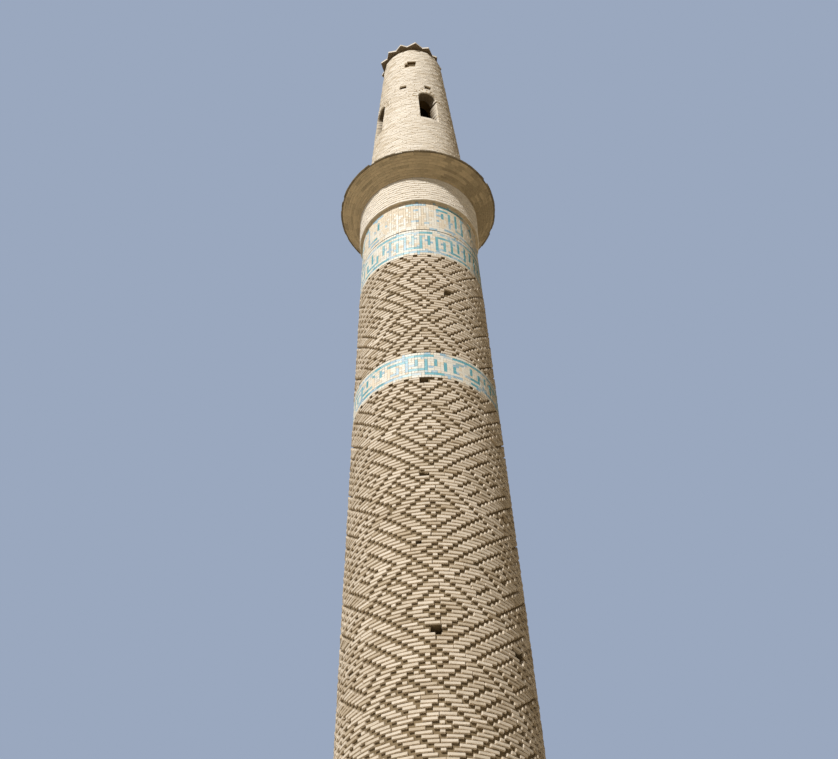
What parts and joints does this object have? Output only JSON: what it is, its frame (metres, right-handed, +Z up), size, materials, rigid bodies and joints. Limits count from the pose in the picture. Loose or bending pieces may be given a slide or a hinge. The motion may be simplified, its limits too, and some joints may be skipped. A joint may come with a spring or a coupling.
{
  "type": "brick minaret",
  "caption": "Tall tapering round brick tower with patterned brickwork, glazed bands, a corbelled gallery and a narrower windowed turret with a saw-tooth crown.",
  "frame": {"origin": "centre of the tower's foot, on its axis at ground level", "axes": "+Z up along the tower's axis; -Y is the side seen in the picture; +X is to the right of that view; the doorway is on +Y"},
  "size_m": [3.682, 3.682, 30.475],
  "materials": {
    "patterned_brick": "dry hand-made brick, matt",
    "pale_brick": "dry weathered brick, matt",
    "glazed_tile": "worn turquoise and cream glaze",
    "paving": "trodden brick paving, matt"
  },
  "bodies": {
    "root": {"ground_floor": "paving", "door_sill": "paving", "base_wall_front": "patterned_brick", "base_wall_right": "patterned_brick", "base_wall_left": "patterned_brick", "door_jamb_right": "patterned_brick", "door_jamb_left": "patterned_brick", "door_head": "patterned_brick", "lower_shaft_front": "patterned_brick", "lower_shaft_right": "patterned_brick", "lower_shaft_back": "patterned_brick", "lower_shaft_left": "patterned_brick", "middle_shaft_front": "patterned_brick", "middle_shaft_right": "patterned_brick", "middle_shaft_back": "patterned_brick", "middle_shaft_left": "patterned_brick", "upper_shaft_front": "patterned_brick", "upper_shaft_right": "patterned_brick", "upper_shaft_back": "patterned_brick", "upper_shaft_left": "patterned_brick", "lower_glazed_band": "glazed_tile", "upper_glazed_band_lower_row": "glazed_tile", "upper_glazed_band_upper_row": "glazed_tile", "gallery_front": "pale_brick", "gallery_right": "pale_brick", "gallery_back": "pale_brick", "gallery_left": "pale_brick", "turret_wall_front": "pale_brick", "turret_wall_right": "pale_brick", "turret_wall_back": "pale_brick", "turret_wall_left": "pale_brick", "turret_pier_1": "pale_brick", "turret_pier_2": "pale_brick", "turret_pier_3": "pale_brick", "turret_pier_4": "pale_brick", "turret_upper_1": "pale_brick", "turret_upper_2": "pale_brick", "turret_upper_3": "pale_brick", "turret_upper_4": "pale_brick", "saw_tooth_course": "pale_brick", "roof_cap": "pale_brick"}
  },
  "joints": []
}
